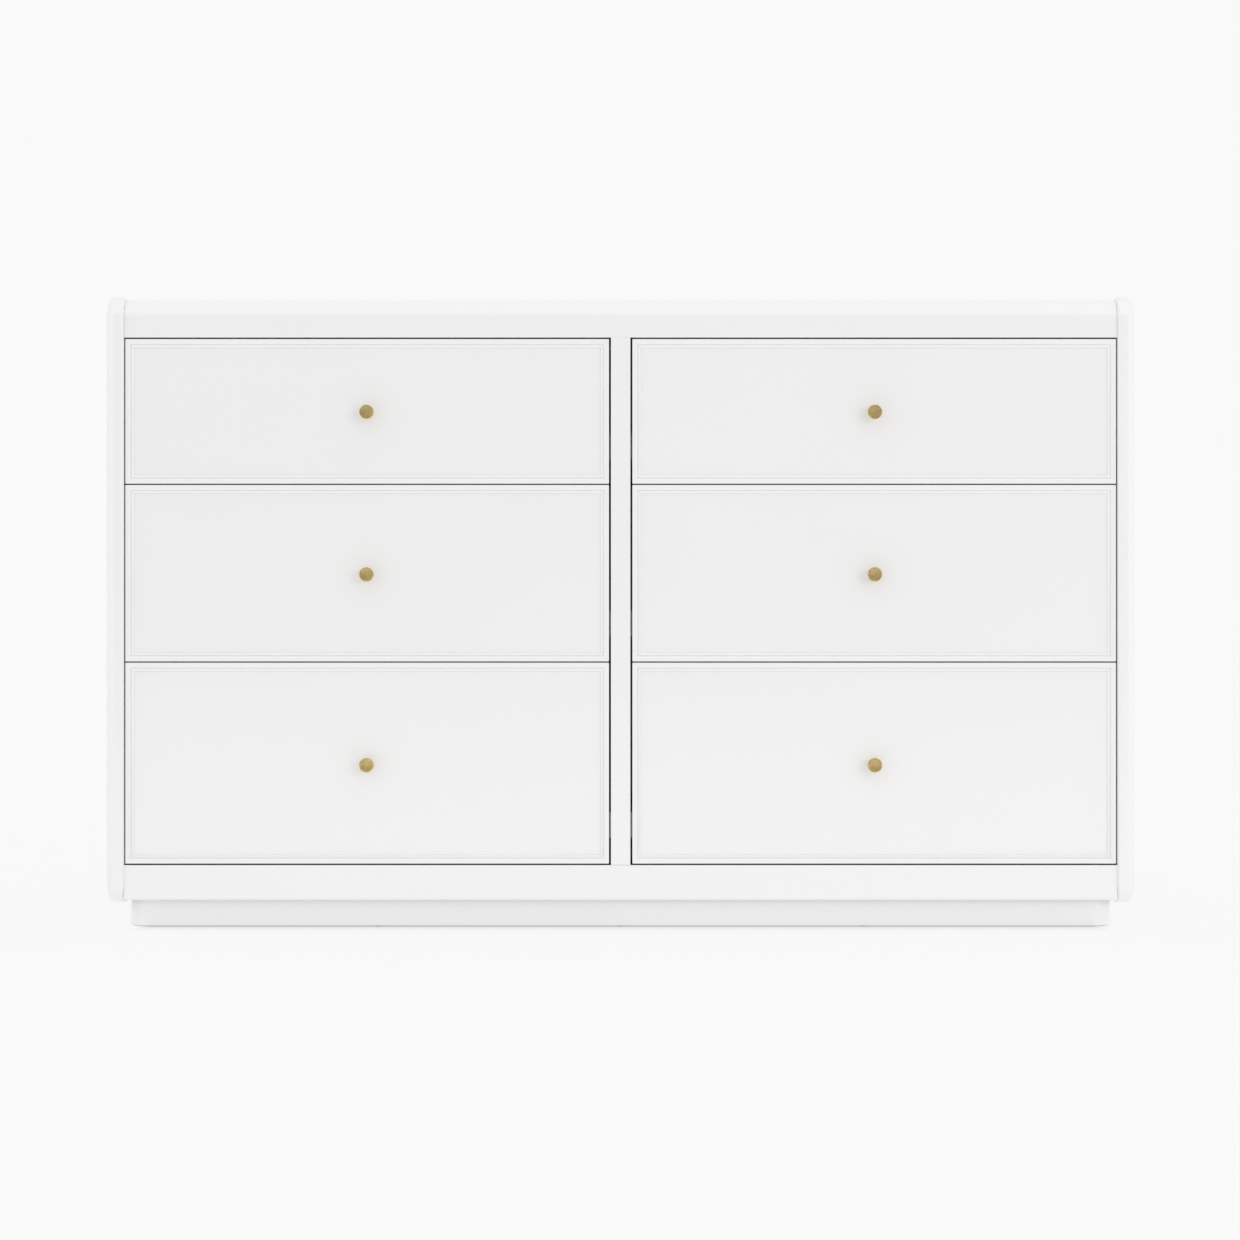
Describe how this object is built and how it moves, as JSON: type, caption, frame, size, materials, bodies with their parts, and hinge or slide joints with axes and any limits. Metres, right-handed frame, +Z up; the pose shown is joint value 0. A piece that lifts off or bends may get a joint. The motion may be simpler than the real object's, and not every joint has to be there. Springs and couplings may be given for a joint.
{
  "type": "dresser",
  "caption": "Low wide dresser in two columns, with inset rimmed drawers on side slides, round knobs, rounded side panels and a recessed plinth.",
  "frame": {"origin": "on the floor, under the middle of the whole box, knobs included", "axes": "+X to the right as seen from the front, -Y out of the front where the drawers open, +Z up"},
  "size_m": [1.422, 0.5092, 0.876],
  "materials": {
    "white_lacquer": "satin white lacquer on fibreboard",
    "back_paint": "thin matt white primer on hardboard",
    "drawer_wood": "clear satin lacquer on solid poplar",
    "drawer_ply": "clear matt lacquer on thin plywood",
    "brushed_brass": "brushed, lacquered",
    "zinc_steel": "bright zinc plate"
  },
  "bodies": {
    "case": {"side_panel_left": "white_lacquer", "side_panel_right": "white_lacquer", "top_panel": "white_lacquer", "bottom_rail": "white_lacquer", "bottom_panel": "white_lacquer", "centre_partition": "white_lacquer", "back_panel": "back_paint", "plinth_front": "white_lacquer", "plinth_left": "white_lacquer", "plinth_right": "white_lacquer", "plinth_rear": "white_lacquer", "plinth_brace": "white_lacquer", "top_left_case_slide_left": "zinc_steel", "top_left_case_slide_right": "zinc_steel", "middle_left_case_slide_left": "zinc_steel", "middle_left_case_slide_right": "zinc_steel", "bottom_left_case_slide_left": "zinc_steel", "bottom_left_case_slide_right": "zinc_steel", "top_right_case_slide_left": "zinc_steel", "top_right_case_slide_right": "zinc_steel", "middle_right_case_slide_left": "zinc_steel", "middle_right_case_slide_right": "zinc_steel", "bottom_right_case_slide_left": "zinc_steel", "bottom_right_case_slide_right": "zinc_steel"},
    "top_left_drawer": {"top_left_drawer_front": "white_lacquer", "top_left_drawer_box": "drawer_wood", "top_left_drawer_bottom": "drawer_ply", "top_left_knob": "brushed_brass", "top_left_drawer_slide_left": "zinc_steel", "top_left_drawer_slide_right": "zinc_steel"},
    "middle_left_drawer": {"middle_left_drawer_front": "white_lacquer", "middle_left_drawer_box": "drawer_wood", "middle_left_drawer_bottom": "drawer_ply", "middle_left_knob": "brushed_brass", "middle_left_drawer_slide_left": "zinc_steel", "middle_left_drawer_slide_right": "zinc_steel"},
    "bottom_left_drawer": {"bottom_left_drawer_front": "white_lacquer", "bottom_left_drawer_box": "drawer_wood", "bottom_left_drawer_bottom": "drawer_ply", "bottom_left_knob": "brushed_brass", "bottom_left_drawer_slide_left": "zinc_steel", "bottom_left_drawer_slide_right": "zinc_steel"},
    "top_right_drawer": {"top_right_drawer_front": "white_lacquer", "top_right_drawer_box": "drawer_wood", "top_right_drawer_bottom": "drawer_ply", "top_right_knob": "brushed_brass", "top_right_drawer_slide_left": "zinc_steel", "top_right_drawer_slide_right": "zinc_steel"},
    "middle_right_drawer": {"middle_right_drawer_front": "white_lacquer", "middle_right_drawer_box": "drawer_wood", "middle_right_drawer_bottom": "drawer_ply", "middle_right_knob": "brushed_brass", "middle_right_drawer_slide_left": "zinc_steel", "middle_right_drawer_slide_right": "zinc_steel"},
    "bottom_right_drawer": {"bottom_right_drawer_front": "white_lacquer", "bottom_right_drawer_box": "drawer_wood", "bottom_right_drawer_bottom": "drawer_ply", "bottom_right_knob": "brushed_brass", "bottom_right_drawer_slide_left": "zinc_steel", "bottom_right_drawer_slide_right": "zinc_steel"}
  },
  "joints": [
    {"name": "top_left_drawer_slide", "type": "slide", "parent": "case", "child": "top_left_drawer", "axis": [0, -1, 0], "range_m": [0, 0.34]},
    {"name": "middle_left_drawer_slide", "type": "slide", "parent": "case", "child": "middle_left_drawer", "axis": [0, -1, 0], "range_m": [0, 0.34]},
    {"name": "bottom_left_drawer_slide", "type": "slide", "parent": "case", "child": "bottom_left_drawer", "axis": [0, -1, 0], "range_m": [0, 0.34]},
    {"name": "top_right_drawer_slide", "type": "slide", "parent": "case", "child": "top_right_drawer", "axis": [0, -1, 0], "range_m": [0, 0.34]},
    {"name": "middle_right_drawer_slide", "type": "slide", "parent": "case", "child": "middle_right_drawer", "axis": [0, -1, 0], "range_m": [0, 0.34]},
    {"name": "bottom_right_drawer_slide", "type": "slide", "parent": "case", "child": "bottom_right_drawer", "axis": [0, -1, 0], "range_m": [0, 0.34]}
  ]
}
